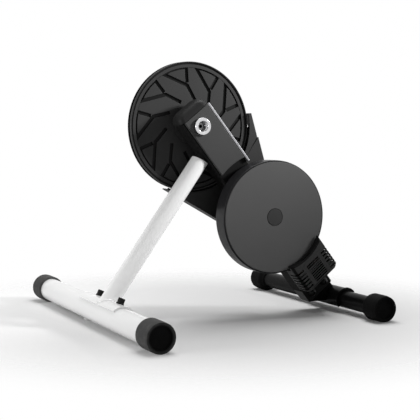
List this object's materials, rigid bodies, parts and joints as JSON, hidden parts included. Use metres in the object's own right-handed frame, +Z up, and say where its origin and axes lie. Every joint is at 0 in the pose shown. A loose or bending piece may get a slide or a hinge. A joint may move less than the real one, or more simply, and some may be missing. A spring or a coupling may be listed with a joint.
{
  "type": "smart bike trainer",
  "caption": "Direct drive bicycle trainer on two cross legs, with a belt driven flywheel, a vented brake housing and a splined cassette body in place of the rear wheel.",
  "frame": {"origin": "centre of the footprint, on the floor", "axes": "+Z up, +X towards the rear leg, +Y towards the drive side of the bicycle; the wheel axle lies along Y"},
  "size_m": [0.507, 0.586, 0.46],
  "materials": {
    "white_paint": "gloss white",
    "black_paint": "satin black",
    "black_plastic": "fine texture, black",
    "black_aluminium": "black coated",
    "rubber": "matt",
    "grey_rubber": "matt, light grey",
    "bright_chrome": "polished",
    "steel": "turned",
    "dark_steel": "black oxide",
    "flywheel_iron": "gloss black",
    "copper": "lacquered copper wire",
    "board": "green circuit board"
  },
  "bodies": {
    "frame": {"arm_beam": "black_paint", "arm_bolt_1": "black_paint", "arm_bolt_2": "black_paint", "arm_cover": "black_plastic", "arm_end_cap": "black_plastic", "arm_trim_strip": "bright_chrome", "axle": "steel", "axle_boss": "steel", "bearing_block": "steel", "belt_guard_cover": "black_plastic", "belt_guard_fender": "black_plastic", "belt_guard_shell": "black_plastic", "brake_coil_a": "copper", "brake_coil_b": "copper", "brake_core": "steel", "brake_housing_back": "black_plastic", "brake_housing_front": "black_plastic", "control_board": "board", "drive_belt": "rubber", "dropout_adapter_left": "bright_chrome", "dropout_adapter_right": "bright_chrome", "flywheel_bearing_left": "steel", "flywheel_bearing_right": "steel", "front_cap_left": "rubber", "front_cap_right": "rubber", "front_foot_pad": "grey_rubber", "front_leg_tube": "white_paint", "front_saddle": "white_paint", "front_saddle_bolt_1": "black_paint", "front_saddle_bolt_2": "black_paint", "power_inlet": "black_plastic", "rear_bracket": "black_paint", "rear_cap_left": "rubber", "rear_cap_right": "rubber", "rear_leg_tube": "black_paint", "rear_saddle": "black_paint", "strut": "white_paint", "strut_plug": "black_paint"},
    "pulley": {"large_pulley": "black_aluminium", "pulley_face": "black_aluminium", "hub_bearing_left": "steel", "hub_bearing_right": "steel"},
    "freehub": {"freehub_body": "dark_steel", "freehub_bearing": "steel"},
    "flywheel": {"flywheel": "flywheel_iron", "flywheel_face": "black_aluminium", "flywheel_centre_cap": "black_plastic", "flywheel_shaft": "steel", "small_pulley": "steel"}
  },
  "joints": [
    {"name": "flywheel_spin", "type": "hinge", "parent": "frame", "child": "flywheel", "pos_m": [0.07264, -0.053, 0.18371], "axis": [0, 1, 0], "continuous": true},
    {"name": "pulley_spin", "type": "hinge", "parent": "frame", "child": "pulley", "pos_m": [-0.0555, -0.0294, 0.345], "axis": [0, 1, 0], "continuous": true},
    {"name": "freehub_spin", "type": "hinge", "parent": "pulley", "child": "freehub", "pos_m": [-0.0555, 0.0001, 0.345], "axis": [0, 1, 0], "continuous": true}
  ],
  "couplings": [
    {"joint": "pulley_spin", "follows": "flywheel_spin", "ratio": 0.16972}
  ]
}
